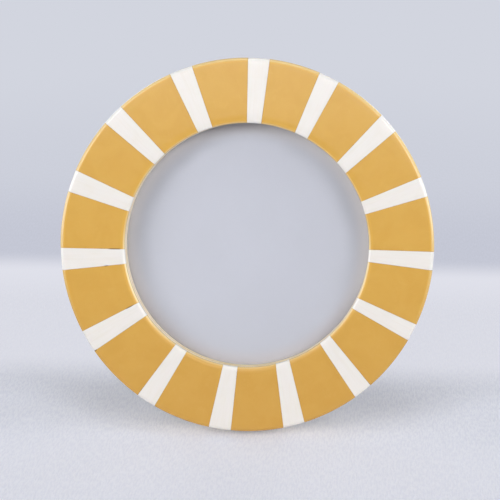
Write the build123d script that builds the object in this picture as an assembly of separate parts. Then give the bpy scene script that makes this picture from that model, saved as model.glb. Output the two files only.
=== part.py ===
from build123d import *
import os
from math import cos, radians, sin

# A round tabletop photo frame: a ring of bone strips and resin panels laid on two glued boards,
# with glass, card and back board in its rebate, turn buttons, a saw-tooth hanger and an easel leg.
# Lengths are in millimetres and angles in degrees.
# Every piece is drawn on the upright ring: face at Y 0 and looking to -Y, centre on the Y axis.
# The whole is then leaned back until rim and leg stand on Z 0.

# Ring
opening_radius = 49.0
ring_width = 26.0
rebate_width = 3.25
inlay_thickness = 2.5
front_board_thickness = 3.2
lip_depth = 3.8
outer_round = 1.2
inner_round = 0.7
rear_arris = 0.8
joint_bevel = 0.15

# Inlay: strips between panels, laid by hand, so each strip strays a little from even steps
strip_count = 15
seam_width = 0.1
first_strip_share = 0.79
drift_shares = (0.01, -0.08, -0.10, -0.16, -0.17, -0.11, -0.08, -0.05, 0.06, 0.14, 0.17, 0.17, 0.14, 0.10, 0.06)
width_shares = (0.26, 0.27, 0.27, 0.28, 0.30, 0.29, 0.29, 0.29, 0.30, 0.26, 0.29, 0.28, 0.25, 0.23, 0.24)
skew_shares = (0.02, 0.06, 0.01, -0.01, 0.04, 0.02, -0.03, -0.04, -0.01, -0.02, -0.03, -0.10, -0.05, 0.01, 0.0)

# What lies in the rebate, from the lip to the back
glass_thickness = 2.0
card_thickness = 0.5
back_board_thickness = 3.0
pane_clearance = 0.25
glass_arris = 0.2
board_arris = 0.4

# Stance
lean_angle = 14.0
leg_angle = 19.0

# Hinge of the leg, rolled from sheet round a loose pin
plate_rim_gap = 7.0
hinge_width = 24.0
hinge_sheet = 0.8
plate_reach = 17.0
leaf_reach = 22.0
leaf_side_inset = 1.0
end_knuckle_length = 6.0
knuckle_gap = 0.3
knuckle_notch_gap = 0.4
barrel_lift = 0.3
pin_clearance = 0.05
pin_head_overhang = 0.5
pin_head_thickness = 0.7
pin_head_gap = 0.1
stop_reach = 6.0
stop_gap = 0.1
stop_side_inset = 1.0
hinge_corner = 3.0

# Leg
leg_thickness = 2.8
leg_board_gap = 0.5
leg_top_width = 28.0
leg_foot_width = 40.0
leg_top_corner = 2.0
leg_foot_corner = 2.5
leg_arris = 0.4

# Rivets of the hinge
rivet_radius = 1.1
rivet_head_radius = 2.1
rivet_head_height = 0.8
rivet_head_bevel = 0.5
rivet_dimple_radius = 0.6
rivet_end_cover = 0.3
rivet_clearance = 0.05
rivet_spacing = 14.0
plate_rivet_rise = 11.0
leaf_rivet_drop = 13.0

# Turn buttons, each on one screw in the rear of the ring
button_count = 4
button_first_angle = 45.0
button_rebate_gap = 7.75
button_overlap = 4.0
button_sheet = 1.0
button_width = 9.0
button_tail_reach = 7.5
button_bend_reach = 4.5
button_tail_lift = 1.3
button_gap = 0.2
button_arris = 0.2

# Screws of the buttons
screw_radius = 1.25
screw_length = 7.0
screw_point = 1.6
screw_head_radius = 2.6
screw_head_height = 1.5
screw_head_bevel = 0.8
screw_head_gap = 0.1
screw_turn_clearance = 0.08
pilot_clearance = 0.05
cross_length = 2.8
cross_width = 0.6
cross_depth = 0.8

# Saw-tooth hanger and its nails
hanger_width = 38.0
hanger_height = 7.0
hanger_rebate_gap = 10.75
hanger_sheet = 0.7
hanger_lift = 1.6
hanger_pad_length = 6.0
hanger_slope_length = 2.0
hanger_corner = 1.5
tooth_count = 9
tooth_pitch = 2.2
tooth_depth = 1.3
nail_radius = 0.6
nail_length = 6.0
nail_head_radius = 1.5
nail_head_height = 0.5
nail_head_bevel = 0.25

# One overrun for every cut
overrun = 1.0

# Radii that follow from the opening
outer_radius = opening_radius + ring_width
rebate_radius = opening_radius + rebate_width
pane_radius = rebate_radius - pane_clearance
button_circle_radius = rebate_radius + button_rebate_gap
button_tip_reach = button_circle_radius - pane_radius + button_overlap
hanger_rise = rebate_radius + hanger_rebate_gap

# Depths of the layers behind the face
front_board_back = inlay_thickness + front_board_thickness
glass_front = front_board_back + lip_depth
card_front = glass_front + glass_thickness
board_front = card_front + card_thickness
ring_depth = board_front + back_board_thickness

# Hinge sizes that follow from the leg that folds flat against the back
barrel_radius = (leg_board_gap + leg_thickness + hinge_sheet - barrel_lift) / 2
bore_radius = barrel_radius - hinge_sheet
pin_radius = bore_radius - pin_clearance
pin_y = ring_depth + barrel_lift + barrel_radius
pin_z = pane_radius - plate_rim_gap - plate_reach
plate_back = ring_depth + hinge_sheet
leg_front = ring_depth + leg_board_gap
leg_back = leg_front + leg_thickness
leaf_back = leg_back + hinge_sheet
knuckle_notch = barrel_radius + knuckle_notch_gap
middle_knuckle_length = hinge_width - 2 * end_knuckle_length - 2 * knuckle_gap

# Stance sizes: how high the ring's centre stands, and how far the leg reaches down its own line
lean_cos = cos(radians(lean_angle))
lean_sin = sin(radians(lean_angle))
foot_tilt = leg_angle - lean_angle
centre_height = outer_radius * lean_cos + (ring_depth - rear_arris) * lean_sin
pin_world_z = centre_height + pin_z * lean_cos - pin_y * lean_sin
foot_slant = (leg_back - pin_y) * sin(radians(foot_tilt))
leg_reach = (pin_world_z + foot_slant) / cos(radians(foot_tilt))


def polar(radius, angle):
    return radius * cos(radians(angle)), radius * sin(radians(angle))


# A flat piece with the given outline, seen from the front, between two depths
def slab(outline, front, back):
    return Pos(0, back, 0) * extrude(Plane.XZ * outline, amount=back - front)


# A round piece about the Y axis from points of radius and depth, with some corners rounded
def turned(points, rounds=()):
    profile = make_face(Polyline(*points, close=True))
    for corner, radius in rounds:
        nearest = profile.vertices().sort_by_distance((*corner, 0))[0]
        profile = fillet(nearest, radius)
    return revolve(profile, axis=Axis.Y)


def rectangle_between(low_x, low_z, high_x, high_z):
    middle = Pos((low_x + high_x) / 2, (low_z + high_z) / 2)
    return middle * Rectangle(high_x - low_x, high_z - low_z)


def disc(radius, front, back, arris):
    return turned(
        (
            (0, front),
            (radius - arris, front),
            (radius, front + arris),
            (radius, back - arris),
            (radius - arris, back),
            (0, back),
        )
    )


# The plain ring from which all strips and panels are cut, rounded at its front edges
def inlay_ring():
    return turned(
        (
            (opening_radius, 0),
            (outer_radius, 0),
            (outer_radius, inlay_thickness),
            (opening_radius, inlay_thickness),
        ),
        (((opening_radius, 0), inner_round), ((outer_radius, 0), outer_round)),
    )


# One edge of a strip, from the opening to the rim; side is -1 or 1
def strip_edge(index, side):
    pitch = 360 / strip_count
    row = index % strip_count % len(drift_shares)
    centre = pitch * (first_strip_share + index + drift_shares[row])
    half_width = side * pitch * width_shares[row] / 2
    half_skew = pitch * skew_shares[row] / 2
    inner = Vector(*polar(opening_radius, centre - half_skew + half_width))
    outer = Vector(*polar(outer_radius, centre + half_skew + half_width))
    return inner, outer


# The part of the ring between two edges, each drawn in by half a seam
def inlay_piece(ring, first_edge, last_edge):
    rim_bulge = outer_radius / cos(radians(360 / strip_count / 2)) - outer_radius
    corners = []
    for (inner, outer), side in ((first_edge, 1), (last_edge, -1)):
        along = (outer - inner).normalized()
        inset = Vector(-along.Y, along.X) * (side * seam_width / 2)
        corners.append(inner + inset - along * overrun)
        corners.append(outer + inset + along * (rim_bulge + overrun))
    first_inner, first_outer, last_inner, last_outer = corners
    wedge = make_face(Polyline(first_inner, first_outer, last_outer, last_inner, close=True))
    return ring & slab(wedge, -overrun, inlay_thickness + overrun)


def inlay():
    ring = inlay_ring()
    pieces = {}
    for index in range(strip_count):
        number = f"{index + 1:02d}"
        left_edge = strip_edge(index, 1)
        right_edge = strip_edge(index, -1)
        next_edge = strip_edge(index + 1, -1)
        pieces[f"bone_strip_{number}"] = inlay_piece(ring, right_edge, left_edge)
        pieces[f"resin_panel_{number}"] = inlay_piece(ring, left_edge, next_edge)
    return pieces


def core_front_ring():
    back = front_board_back
    return turned(
        (
            (opening_radius, inlay_thickness),
            (outer_radius, inlay_thickness),
            (outer_radius, back - joint_bevel),
            (outer_radius - joint_bevel, back),
            (opening_radius + joint_bevel, back),
            (opening_radius, back - joint_bevel),
        )
    )


def button_places():
    step = 360 / button_count
    return [button_first_angle + step * index for index in range(button_count)]


def nail_places():
    offset = (hanger_width - hanger_pad_length) / 2
    return [(-offset, hanger_rise), (offset, hanger_rise)]


# The rear board carries the lip that holds the glass, and the rebate behind it
def core_rear_ring():
    front = front_board_back
    ring = turned(
        (
            (opening_radius + joint_bevel, front),
            (outer_radius - joint_bevel, front),
            (outer_radius, front + joint_bevel),
            (outer_radius, ring_depth - rear_arris),
            (outer_radius - rear_arris, ring_depth),
            (rebate_radius, ring_depth),
            (rebate_radius, glass_front),
            (opening_radius, glass_front),
            (opening_radius, front + joint_bevel),
        )
    )
    screw_end = ring_depth + button_gap + button_sheet + screw_head_gap - screw_length
    screw_hole = turned_pin(screw_radius + pilot_clearance, screw_end - pilot_clearance, ring_depth + overrun)
    nail_hole = turned_pin(
        nail_radius + pilot_clearance,
        ring_depth + hanger_sheet - nail_length - pilot_clearance,
        ring_depth + overrun,
    )
    for angle in button_places():
        x, z = polar(button_circle_radius, angle)
        ring -= Pos(x, 0, z) * screw_hole
    for x, z in nail_places():
        ring -= Pos(x, 0, z) * nail_hole
    return ring


def turned_pin(radius, front, back):
    return turned(((0, front), (radius, front), (radius, back), (0, back)))


# The two rivets of each half of the hinge stand side by side
def rivet_places(z):
    return [(-rivet_spacing / 2, z), (rivet_spacing / 2, z)]


def with_rivet_holes(piece, z):
    hole = turned_pin(rivet_radius + rivet_clearance, -overrun, leaf_back + overrun)
    for x, place_z in rivet_places(z):
        piece -= Pos(x, 0, place_z) * hole
    return piece


# Round-headed tubular rivet whose head lies on the sheet at the given depth
def rivet(seat, end):
    head_top = seat + rivet_head_height
    return turned(
        (
            (0, end),
            (rivet_radius, end),
            (rivet_radius, seat),
            (rivet_head_radius, seat),
            (rivet_head_radius, head_top - rivet_head_bevel),
            (rivet_head_radius - rivet_head_bevel, head_top),
            (rivet_dimple_radius, head_top),
            (rivet_dimple_radius, seat),
            (0, seat),
        )
    )


def rivets(z, seat, end):
    return [Pos(x, 0, place_z) * rivet(seat, end) for x, place_z in rivet_places(z)]


def back_board():
    plate_rivet_z = pin_z + plate_rivet_rise
    board = disc(pane_radius, board_front, ring_depth, board_arris)
    hole = turned_pin(
        rivet_radius + rivet_clearance,
        board_front + rivet_end_cover - rivet_clearance,
        ring_depth + overrun,
    )
    for x, z in rivet_places(plate_rivet_z):
        board -= Pos(x, 0, z) * hole
    return board


# A rod along X about the hinge pin
def pin_rod(radius, low_x, high_x):
    middle = Pos((low_x + high_x) / 2, pin_y, pin_z)
    return middle * Rot(0, 90, 0) * Cylinder(radius, high_x - low_x)


def hinge_bore():
    reach = hinge_width / 2 + overrun
    return pin_rod(bore_radius, -reach, reach)


# The fixed half: a plate on the back board that runs up from two end knuckles
def hinge_plate():
    half = hinge_width / 2
    inner_end = half - end_knuckle_length
    top = pin_z + plate_reach
    outline = rectangle_between(-half, pin_z + knuckle_notch, half, top)
    upper_corners = outline.vertices().sort_by(Axis.Y)[-2:]
    outline = fillet(upper_corners, hinge_corner)
    for side in (-1, 1):
        low_x, high_x = sorted((side * inner_end, side * half))
        outline += rectangle_between(low_x, pin_z, high_x, pin_z + knuckle_notch)
    plate = slab(outline, ring_depth, plate_back)
    for side in (-1, 1):
        low_x, high_x = sorted((side * inner_end, side * half))
        plate += pin_rod(barrel_radius, low_x, high_x)
    plate -= hinge_bore()
    return with_rivet_holes(plate, pin_z + plate_rivet_rise)


# Turns a piece drawn against the back out to the leg's open place
def opened(piece):
    return Pos(0, pin_y, pin_z) * Rot(leg_angle, 0, 0) * Pos(0, -pin_y, -pin_z) * piece


# The moving half: a leaf on the leg, the middle knuckle, and a tongue that stops on the plate
def hinge_leaf():
    half = hinge_width / 2 - leaf_side_inset
    middle = middle_knuckle_length / 2
    outline = rectangle_between(-half, pin_z - leaf_reach, half, pin_z - knuckle_notch)
    lower_corners = outline.vertices().sort_by(Axis.Y)[:2]
    outline = fillet(lower_corners, hinge_corner)
    outline += rectangle_between(-middle, pin_z - knuckle_notch, middle, pin_z)
    sheet = with_rivet_holes(slab(outline, leg_back, leaf_back), pin_z - leaf_rivet_drop)
    knuckle = pin_rod(barrel_radius, -middle, middle)
    tongue_half = middle - stop_side_inset
    tongue_outline = rectangle_between(-tongue_half, pin_z, tongue_half, pin_z + stop_reach)
    tongue_front = plate_back + stop_gap
    tongue = slab(tongue_outline, tongue_front, tongue_front + hinge_sheet)
    return opened(sheet + knuckle) + tongue - hinge_bore()


def hinge_pin():
    end = hinge_width / 2 + pin_head_gap
    shaft = pin_rod(pin_radius, -end, end)
    for side in (-1, 1):
        low_x, high_x = sorted((side * end, side * (end + pin_head_thickness)))
        shaft += pin_rod(pin_radius + pin_head_overhang, low_x, high_x)
    return shaft


# The leg widens to its foot, which the floor cuts level
def easel_leg():
    top_z = pin_z - knuckle_notch
    foot_z = pin_z - leg_reach
    half_top = leg_top_width / 2
    half_foot = leg_foot_width / 2
    outline = make_face(
        Polyline(
            (-half_top, top_z), (half_top, top_z), (half_foot, foot_z), (-half_foot, foot_z), close=True
        )
    )
    by_height = outline.vertices().sort_by(Axis.Y)
    outline = fillet(by_height[:2], leg_foot_corner)
    outline = fillet(outline.vertices().sort_by(Axis.Y)[-2:], leg_top_corner)
    leg = slab(outline, leg_front, leg_back)
    long_faces = leg.faces().sort_by(Axis.Y)
    leg = chamfer(long_faces[0].edges() + long_faces[-1].edges(), leg_arris)
    hole = turned_pin(
        rivet_radius + rivet_clearance,
        leg_front + rivet_end_cover - rivet_clearance,
        leg_back + overrun,
    )
    for x, z in rivet_places(pin_z - leaf_rivet_drop):
        leg -= Pos(x, 0, z) * hole
    return opened(leg)


# One turn button at the origin, tip to -X, pressed from sheet with its tail bent up for a finger
def turn_button():
    half = button_width / 2
    low = ring_depth + button_gap
    high = low + button_sheet
    side_view = make_face(
        Polyline(
            (-button_tip_reach, low),
            (button_bend_reach, low),
            (button_tail_reach, low + button_tail_lift),
            (button_tail_reach, high + button_tail_lift),
            (button_bend_reach, high),
            (-button_tip_reach, high),
            close=True,
        )
    )
    strip = Pos(0, 0, -half) * extrude(side_view, amount=button_width)
    plan = rectangle_between(-button_tip_reach, -half, button_tail_reach, half)
    by_x = plan.vertices().sort_by(Axis.X)
    plan = fillet(by_x[:2], half - button_arris)
    plan = fillet(plan.vertices().sort_by(Axis.X)[-2:], half / 2)
    button = strip & slab(plan, low - overrun, high + button_tail_lift + overrun)
    hole = turned_pin(screw_radius + screw_turn_clearance, low - overrun, high + overrun)
    return button - hole


def at_button(piece, angle):
    x, z = polar(button_circle_radius, angle)
    return Pos(x, 0, z) * Rot(0, -angle, 0) * piece


# Pan-headed screw with a cross recess
def button_screw():
    seat = ring_depth + button_gap + button_sheet + screw_head_gap
    end = seat - screw_length
    top = seat + screw_head_height
    screw = turned(
        (
            (0, end),
            (screw_radius, end + screw_point),
            (screw_radius, seat),
            (screw_head_radius, seat),
            (screw_head_radius, top - screw_head_bevel),
            (screw_head_radius - screw_head_bevel, top),
            (0, top),
        )
    )
    arm = Rectangle(cross_length, cross_width)
    cross = arm + Rot(0, 0, 90) * arm
    return screw - slab(cross, top - cross_depth, top + overrun)


# Strip nailed down at both ends, raised between them, with teeth along its lower edge
def hanger():
    half = hanger_width / 2
    pad_end = half - hanger_pad_length
    raised_end = pad_end - hanger_slope_length
    low = ring_depth
    high = low + hanger_sheet
    side_view = make_face(
        Polyline(
            (-half, low),
            (-pad_end, low),
            (-raised_end, low + hanger_lift),
            (raised_end, low + hanger_lift),
            (pad_end, low),
            (half, low),
            (half, high),
            (pad_end, high),
            (raised_end, high + hanger_lift),
            (-raised_end, high + hanger_lift),
            (-pad_end, high),
            (-half, high),
            close=True,
        )
    )
    bottom = hanger_rise - hanger_height / 2
    strip = Pos(0, 0, bottom) * extrude(side_view, amount=hanger_height)
    plan = Pos(0, hanger_rise) * Rectangle(hanger_width, hanger_height)
    plan = fillet(plan.vertices(), hanger_corner)
    first_tooth = -tooth_pitch * (tooth_count - 1) / 2
    for index in range(tooth_count):
        x = first_tooth + index * tooth_pitch
        plan -= make_face(
            Polyline(
                (x - tooth_pitch / 2, bottom), (x + tooth_pitch / 2, bottom), (x, bottom + tooth_depth), close=True
            )
        )
    plate = strip & slab(plan, low - overrun, high + hanger_lift + overrun)
    hole = turned_pin(nail_radius + pilot_clearance, low - overrun, high + overrun)
    for x, z in nail_places():
        plate -= Pos(x, 0, z) * hole
    return plate


def hanger_nail():
    seat = ring_depth + hanger_sheet
    top = seat + nail_head_height
    end = seat - nail_length
    return turned(
        (
            (0, end),
            (nail_radius, end + nail_radius),
            (nail_radius, seat),
            (nail_head_radius, seat),
            (nail_head_radius, top - nail_head_bevel),
            (nail_head_radius - nail_head_bevel, top),
            (0, top),
        )
    )


# Every named piece, as a list of the separate solids that it is made of
def upright_pieces():
    pieces = inlay()
    pieces["core_front_ring"] = core_front_ring()
    pieces["core_rear_ring"] = core_rear_ring()
    pieces["glass_pane"] = disc(pane_radius, glass_front, card_front, glass_arris)
    pieces["photo_insert"] = turned_pin(pane_radius, card_front, board_front)
    pieces["back_board"] = back_board()
    pieces["hinge_plate"] = hinge_plate()
    pieces["hinge_leaf"] = hinge_leaf()
    pieces["hinge_pin"] = hinge_pin()
    pieces["easel_leg"] = easel_leg()
    for index, angle in enumerate(button_places()):
        pieces[f"turn_button_{index + 1}"] = at_button(turn_button(), angle)
    pieces["hanger"] = hanger()
    pieces = {name: [piece] for name, piece in pieces.items()}
    plate_rivets = rivets(pin_z + plate_rivet_rise, plate_back, board_front + rivet_end_cover)
    leaf_rivets = rivets(pin_z - leaf_rivet_drop, leaf_back, leg_front + rivet_end_cover)
    pieces["hinge_plate_rivets"] = plate_rivets
    pieces["hinge_leaf_rivets"] = [opened(piece) for piece in leaf_rivets]
    pieces["turn_button_screws"] = [at_button(button_screw(), angle) for angle in button_places()]
    pieces["hanger_nails"] = [Pos(x, 0, z) * hanger_nail() for x, z in nail_places()]
    return pieces


# Leans every piece back, cuts the leg level with the floor, and centres the whole over the origin
def standing_pieces():
    lean = Pos(0, 0, centre_height) * Rot(-lean_angle, 0, 0)
    pieces = {name: [lean * piece for piece in group] for name, group in upright_pieces().items()}
    floor_block = Pos(0, 0, -outer_radius) * Box(4 * outer_radius, 4 * outer_radius, 2 * outer_radius)
    pieces["easel_leg"] = [piece - floor_block for piece in pieces["easel_leg"]]
    boxes = [piece.bounding_box() for group in pieces.values() for piece in group]
    front = min(box.min.Y for box in boxes)
    back = max(box.max.Y for box in boxes)
    shift = Pos(0, -(front + back) / 2, 0)
    placed = {name: [shift * piece for piece in group] for name, group in pieces.items()}
    return placed, shift * lean


def report_places(stand):
    def place(x, y, z):
        return tuple((stand * Pos(x, y, z)).position)

    print("hinge pin", place(0, pin_y, pin_z))
    for angle in button_places():
        x, z = polar(button_circle_radius, angle)
        print("button axis", place(x, ring_depth, z))
    print("face centre", place(0, 0, 0), "glass centre", place(0, glass_front, 0))
    print("hanger", place(0, ring_depth + hanger_lift, hanger_rise))


def export_all():
    os.makedirs("parts", exist_ok=True)
    pieces, stand = standing_pieces()
    for name, group in pieces.items():
        solids = [solid for piece in group for solid in piece.solids()]
        export_step(Compound(solids), f"parts/{name}.step")
    report_places(stand)


export_all()
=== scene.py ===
from math import atan, ceil, cos, degrees, hypot, pi, radians, sin

import bmesh
import bpy
from mathutils import Euler, Matrix, Vector


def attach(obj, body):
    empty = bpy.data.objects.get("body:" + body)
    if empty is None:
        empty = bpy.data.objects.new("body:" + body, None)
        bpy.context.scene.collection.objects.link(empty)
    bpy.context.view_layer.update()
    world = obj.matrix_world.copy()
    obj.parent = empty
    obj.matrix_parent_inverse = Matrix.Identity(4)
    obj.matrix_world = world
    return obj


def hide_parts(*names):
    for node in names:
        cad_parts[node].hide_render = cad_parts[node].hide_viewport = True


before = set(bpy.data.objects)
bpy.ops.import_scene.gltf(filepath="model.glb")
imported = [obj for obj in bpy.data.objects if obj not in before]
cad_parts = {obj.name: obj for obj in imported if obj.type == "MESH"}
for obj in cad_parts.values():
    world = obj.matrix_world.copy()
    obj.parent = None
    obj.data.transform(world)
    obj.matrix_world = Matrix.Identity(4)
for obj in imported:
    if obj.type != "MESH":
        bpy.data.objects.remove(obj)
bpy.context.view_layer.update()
scene = bpy.context.scene
scene.view_settings.view_transform = "Standard"
print("frame loaded:", len(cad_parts), "nodes")

# Pieces are drawn in millimetres on the upright ring: x to the right, y from the face into the
# depth, z up from the centre. The matrices below stand the ring on the floor, in metres.
stance = {
    "millimetre": 0.001,
    "lean": 14.0,  # degrees back from upright
    "legAngle": 19.0,  # the open leg, out from the back of the ring
    "faceCentre": Vector((0.0, -0.007661, 0.076207)),  # metres
    "pin": (0.0, 17.2, 28.0),  # the hinge pin, on the upright ring
}
leanBack = Matrix.Rotation(radians(-stance["lean"]), 4, "X")
shrink = Matrix.Scale(stance["millimetre"], 4)
standing = Matrix.Translation(stance["faceCentre"]) @ leanBack @ shrink
toPin = Matrix.Translation(stance["pin"])
opened = standing @ toPin @ Matrix.Rotation(radians(stance["legAngle"]), 4, "X") @ toPin.inverted()


# Shader trees: a Signal is one socket, and maths on it adds Math nodes
class Signal:
    def __init__(self, paint, socket):
        self.paint = paint
        self.socket = socket

    def maths(self, operation, *values):
        return self.paint.node("ShaderNodeMath", {"operation": operation}, dict(enumerate(values)))

    def __add__(self, other):
        return self.maths("ADD", self, other)

    def __sub__(self, other):
        return self.maths("SUBTRACT", self, other)

    def __rsub__(self, other):
        return self.maths("SUBTRACT", other, self)

    def __mul__(self, other):
        return self.maths("MULTIPLY", self, other)

    __radd__ = __add__
    __rmul__ = __mul__

    def least(self, other):
        return self.maths("MINIMUM", self, other)

    def most(self, other):
        return self.maths("MAXIMUM", self, other)

    def size(self):
        return self.maths("ABSOLUTE", self)

    # 0 at low and below, 1 or the share at high and above, smooth between
    def rise(self, low, high, share=None):
        settings = {"interpolation_type": "SMOOTHSTEP"}
        sockets = {"Value": self, "From Min": low, "From Max": high}
        risen = self.paint.node("ShaderNodeMapRange", settings, sockets)
        return risen * share if share else risen


class Paint:
    def __init__(self, name, owners=bpy.data.materials):
        self.material = owners.new(name)
        self.material.use_nodes = True
        self.tree = self.material.node_tree
        self.tree.nodes.clear()

    def node(self, kind, settings=None, sockets=None, output=0):
        made = self.tree.nodes.new(kind)
        for name, value in (settings or {}).items():
            setattr(made, name, value)
        for name, value in (sockets or {}).items():
            if isinstance(value, Signal):
                self.tree.links.new(value.socket, made.inputs[name])
            else:
                made.inputs[name].default_value = value
        return Signal(self, made.outputs[output])

    def mix(self, factor, first, second, blend="MIX"):
        settings = {"data_type": "RGBA", "blend_type": blend}
        return self.node("ShaderNodeMix", settings, {0: factor, 6: first, 7: second}, 2)

    def onPiece(self):  # metres, as the piece stands
        return self.node("ShaderNodeTexCoord", output="Object")

    def onRing(self):  # millimetres on the upright ring
        settings = {"vector_type": "TEXTURE"}
        sockets = {
            "Vector": self.onPiece(),
            "Location": stance["faceCentre"],
            "Rotation": (radians(-stance["lean"]), 0, 0),
            "Scale": (stance["millimetre"],) * 3,
        }
        return self.node("ShaderNodeMapping", settings, sockets)

    def onMap(self, name):
        return self.node("ShaderNodeUVMap", {"uv_map": name})

    def part(self, vector, letter):
        return self.node("ShaderNodeSeparateXYZ", None, {0: vector}, letter)

    def stretch(self, vector, x, y, z):
        return self.node("ShaderNodeMapping", None, {"Vector": vector, "Scale": (x, y, z)})

    def fromAxis(self, ring):  # millimetres from the ring's axis
        flat = self.stretch(ring, 1.0, 0.0, 1.0)
        return self.node("ShaderNodeVectorMath", {"operation": "LENGTH"}, {0: flat}, "Value")

    def noise(self, vector, scale, detail=3.0, roughness=0.5, distortion=0.0):
        sockets = {
            "Vector": vector,
            "Scale": scale,
            "Detail": detail,
            "Roughness": roughness,
            "Distortion": distortion,
        }
        return self.node("ShaderNodeTexNoise", None, sockets)

    def cells(self, vector, scale):  # distance from the nearest of scattered points
        return self.node("ShaderNodeTexVoronoi", None, {"Vector": vector, "Scale": scale})

    def relief(self, height, depth, strength):  # depth in metres
        sockets = {"Height": height, "Distance": depth, "Strength": strength}
        return self.node("ShaderNodeBump", None, sockets)

    def shader(self, **sockets):
        named = {name.replace("_", " "): value for name, value in sockets.items()}
        return self.node("ShaderNodeBsdfPrincipled", None, named)

    def finish(self, shader, kind="ShaderNodeOutputMaterial"):
        output = self.tree.nodes.new(kind)
        self.tree.links.new(shader.socket, output.inputs["Surface"])
        return self

    def surface(self, **sockets):
        return self.finish(self.shader(**sockets))


def seen(red, green, blue):  # a colour as the eye sees it, 0 to 255, as a shader wants it
    def linear(share):
        return share / 12.92 if share <= 0.04045 else ((share + 0.055) / 1.055) ** 2.4

    return (linear(red / 255), linear(green / 255), linear(blue / 255), 1.0)


# In the looks below, a noise is its scale, detail, roughness and distortion. A size or reach says
# where a pattern starts, where it is full and, if that isn't all, its share there. Lengths are
# millimetres unless they say metres, and a relief is its depth in metres and its strength.
fillerLook = {
    "pale": seen(196, 158, 96),
    "dark": seen(104, 70, 34),
    "patches": (0.16, 3.0, 0.6),
    "patchSize": (0.54, 0.68),
    "crumbs": (5.0, 2.0),
    "relief": (0.00002, 0.6),
    "darkPlaces": (  # where filler shows as a dark line: x and z on the ring, and reach
        (-52.9, -0.7, 3.6),
        (-47.4, -24.0, 3.0),
        (-56.3, -8.4, 1.5),
        (-60.4, -43.4, 1.1),
    ),
    "darkDepth": 0.5,
    "darkCore": 0.6,  # share of the reach that is all dark
    "darkShare": 0.8,
}
# The edges of the face are painted pale. On the inner edge this is partly wear and partly painted
# highlight, most a little below the middle.
# On the outer edge it is a painted highlight, from there up where the light falls. These are heights on
# the ring.
paleEdgeLook = {
    "innerFrom": (-46, -22),
    "innerTo": (-8, 12),
    "innerLeast": 0.4,
    "outerFrom": (-42, 22),
    "wallDepth": (0.7, 1.4),  # from here into the depth, the wall of the opening is painted pale all round: a painted highlight
}


# How pale a point is painted, for the inner and the outer edge, by where the pale band reaches in
# radius: wear and painted highlight inside, painted highlight outside
def paleEdges(paint, inner, outer):
    ring = paint.onRing()
    radius = paint.fromAxis(ring)
    height = paint.part(ring, "Z")
    innerBand = height.rise(*paleEdgeLook["innerFrom"]) * (1 - height.rise(*paleEdgeLook["innerTo"]))
    innerBand = paleEdgeLook["innerLeast"] + innerBand * (1 - paleEdgeLook["innerLeast"])
    innerBand = innerBand.most(paint.part(ring, "Y").rise(*paleEdgeLook["wallDepth"]))
    return (1 - radius.rise(*inner)) * innerBand, radius.rise(*outer) * height.rise(*paleEdgeLook["outerFrom"])


def darkSeams(paint):
    ring = paint.onRing()
    shown = 0.0
    for x, z, reach in fillerLook["darkPlaces"]:
        sockets = {0: ring, 1: (x, fillerLook["darkDepth"], z)}
        away = paint.node("ShaderNodeVectorMath", {"operation": "DISTANCE"}, sockets, "Value")
        shown = shown + (1 - away.rise(reach * fillerLook["darkCore"], reach))
    return shown.least(1.0)


# Stains, and filler that shows dark, beside the seams of bone and resin
def stainSeams(paint, look, grain, colour):
    seam = paint.part(paint.onMap("seam"), "X")
    stained = paint.noise(grain, *look["stains"]).rise(*look["stainSize"])
    stained = (1 - seam.rise(*look["stainReach"])) * stained
    colour = paint.mix(stained * look["stainShare"], colour, look["stain"])
    dark = darkSeams(paint) * (1 - seam.rise(*look["darkReach"]))
    return paint.mix(dark * fillerLook["darkShare"], colour, fillerLook["dark"])


boneLook = {
    "pale": seen(239, 233, 225),
    "streak": seen(235, 227, 215),
    "pore": seen(206, 194, 170),
    "stain": seen(215, 196, 160),
    # the pale edge colour: painted highlight, on the inner edge with wear
    "paler": seen(252, 249, 243),
    "grainStretch": (1.0, 0.06, 1.0),
    "streaks": (1 / 1.1, 5.0, 0.62, 0.5),
    "streakSize": (0.42, 0.72, 0.55),
    "clouds": (0.13, 3.0, 0.55),
    "cloudSize": (0.5, 0.75, 0.5),
    "hairs": (6.0, 2.0, 0.6),
    "hairBump": 0.4,
    "poreStretch": (1.6, 0.32, 1.0),
    "poreSize": (0.05, 0.16),
    "porePatches": (0.3, 2.0),
    "porePatchSize": (0.5, 0.62),
    "poreShare": 0.3,
    "stains": (0.35, 3.0),
    "stainSize": (0.45, 0.65),
    "stainReach": (0.0, 0.22),  # from a seam
    "stainShare": 0.35,
    "darkReach": (0.1, 0.25),
    "innerPaleReach": (49.4, 50.1),
    "outerHighlightReach": (73.4, 74.4),
    "paleShare": 0.7,
    "relief": (0.00002, 0.5),
}


def bonePaint():
    look = boneLook
    paint = Paint("polished bone")
    grain = paint.onMap("grain")
    fine = paint.stretch(grain, *look["grainStretch"])
    cloud = paint.noise(grain, *look["clouds"])
    streak = paint.noise(fine, *look["streaks"])
    hair = paint.noise(fine, *look["hairs"])
    pores = 1 - paint.cells(paint.stretch(grain, *look["poreStretch"]), 1.0).rise(*look["poreSize"])
    pores = pores * paint.noise(grain, *look["porePatches"]).rise(*look["porePatchSize"])
    colour = paint.mix(streak.rise(*look["streakSize"]), look["pale"], look["streak"])
    colour = paint.mix(cloud.rise(*look["cloudSize"]), colour, look["streak"])
    colour = paint.mix(pores * look["poreShare"], colour, look["pore"])
    colour = stainSeams(paint, look, grain, colour)
    # Painted highlight along the outer edge, and along the inner edge with wear: the edges are painted
    # paler
    inner, outer = paleEdges(paint, look["innerPaleReach"], look["outerHighlightReach"])
    colour = paint.mix((inner + outer).least(1.0) * look["paleShare"], colour, look["paler"])
    return paint.surface(
        Base_Color=colour,
        Roughness=0.17 + streak * 0.1 + pores * 0.2,
        Normal=paint.relief(hair * look["hairBump"] - pores, *look["relief"]),
        Coat_Weight=0.3,
        Coat_Roughness=0.1,
        Subsurface_Weight=0.12,
        Subsurface_Radius=(0.0012, 0.0009, 0.0006),
        Subsurface_Scale=1.0,
    )


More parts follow.
